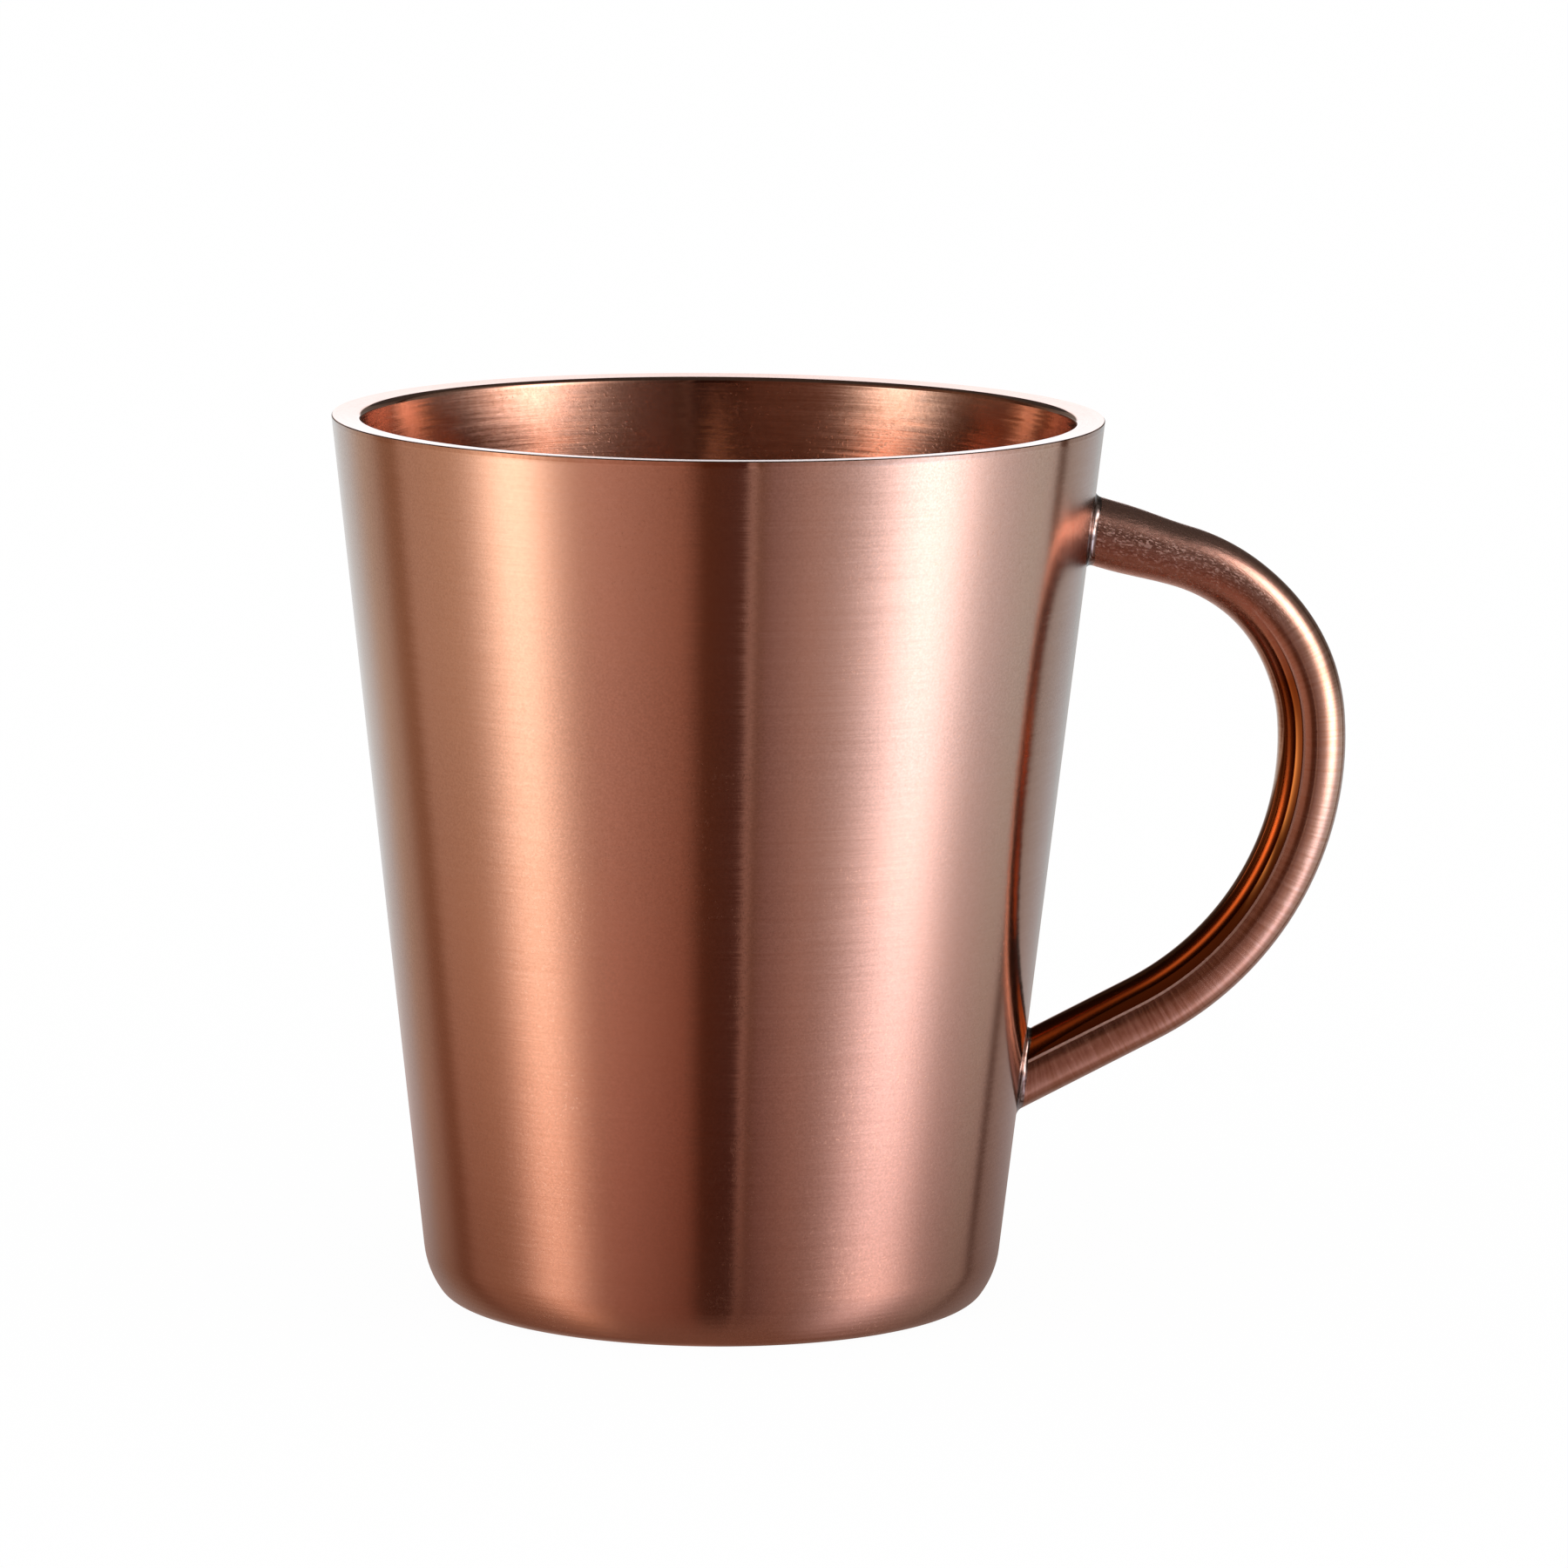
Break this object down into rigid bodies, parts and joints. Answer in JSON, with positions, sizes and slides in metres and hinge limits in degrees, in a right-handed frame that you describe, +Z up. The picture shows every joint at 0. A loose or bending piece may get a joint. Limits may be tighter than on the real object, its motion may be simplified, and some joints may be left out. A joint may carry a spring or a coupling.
{
  "type": "double-wall mug",
  "caption": "Tapered double-wall mug in brushed copper finish, with a flat rim, a rolled-under foot and a bent round-tube handle welded to one side.",
  "frame": {"origin": "centre of the ring that the mug stands on", "axes": "+Z up along the cup's axis, +X out along the handle, +Y completing the right hand"},
  "size_m": [0.119, 0.09, 0.104],
  "materials": {
    "shell_copper": "satin copper plating over steel, fine circumferential brushing",
    "cup_copper": "satin copper plating over steel, coarser circumferential brushing",
    "pan_copper": "satin copper plating over steel, spun finish",
    "handle_copper": "semi-bright copper plating over steel, light lengthwise polishing marks",
    "seam_copper": "bright copper plating over a smooth weld"
  },
  "bodies": {
    "root": {"outer_shell": "shell_copper", "inner_cup": "cup_copper", "base_pan": "pan_copper", "rim_weld": "seam_copper", "base_weld": "seam_copper", "handle_tube": "handle_copper", "handle_weld_upper": "seam_copper", "handle_weld_lower": "seam_copper"}
  },
  "joints": []
}
